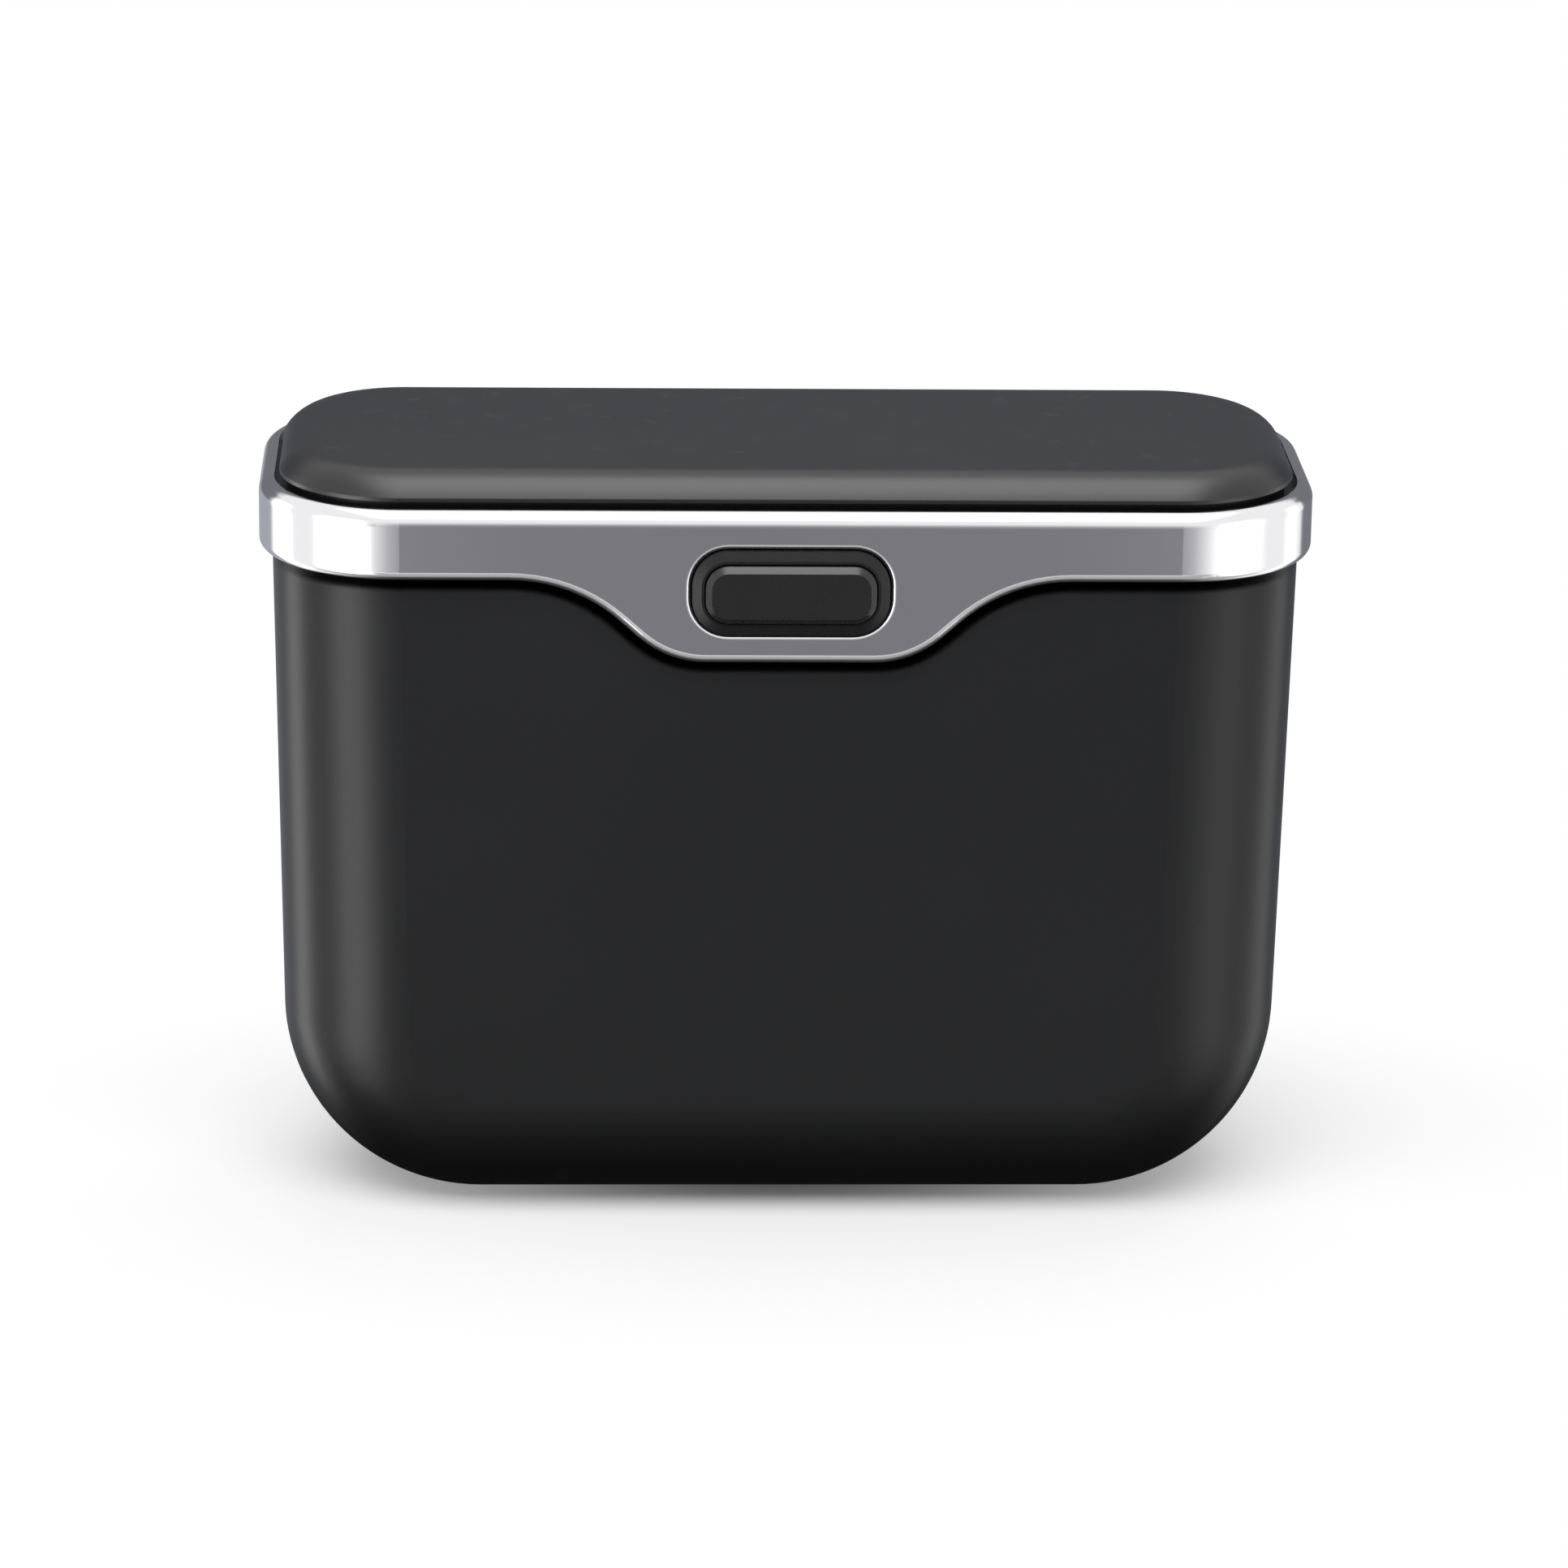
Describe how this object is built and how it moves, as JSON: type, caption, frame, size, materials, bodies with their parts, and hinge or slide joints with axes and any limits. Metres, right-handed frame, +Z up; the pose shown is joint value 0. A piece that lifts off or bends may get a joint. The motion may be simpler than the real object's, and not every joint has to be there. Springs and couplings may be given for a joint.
{
  "type": "car trash bin",
  "caption": "Slim tapered car waste bin with a chrome-plated collar, a push button in a curved front apron, a sprung pop-up lid hinged at the back and a rear hanging hook.",
  "frame": {"origin": "middle of the tub's flat base, on the surface that the bin stands on", "axes": "+X across the bin to its right as the button is faced, +Y from the button to the hook, +Z up"},
  "size_m": [0.163, 0.0794, 0.121],
  "materials": {
    "tub_plastic": "satin",
    "lid_plastic": "satin",
    "frame_plastic": "satin",
    "button_plastic": "satin",
    "chrome_plated_plastic": "polished",
    "steel": "satin"
  },
  "bodies": {
    "bin": {"tub": "tub_plastic", "trim_collar": "chrome_plated_plastic", "mouth_frame": "frame_plastic", "button_bezel": "button_plastic", "latch_housing": "frame_plastic", "housing_screws": "steel", "hinge_pin": "steel", "lid_spring": "steel", "button_springs": "steel", "hanging_hook": "frame_plastic", "hook_screws": "steel"},
    "lid": {"lid_cover": "lid_plastic", "lid_liner": "frame_plastic", "lid_screws": "steel"},
    "button": {"button_cap": "button_plastic", "latch_slide": "frame_plastic"}
  },
  "joints": [
    {"name": "lid_hinge", "type": "hinge", "parent": "bin", "child": "lid", "pos_m": [0, 0.0324, 0.1153], "axis": [-1, 0, 0], "range_deg": [0, 95], "deforming": ["lid_spring"]},
    {"name": "button_press", "type": "slide", "parent": "bin", "child": "button", "axis": [0, 1, 0], "range_m": [0, 0.0022], "stiffness_N_per_m": 300, "springref_m": -0.004, "deforming": ["button_springs"]}
  ]
}
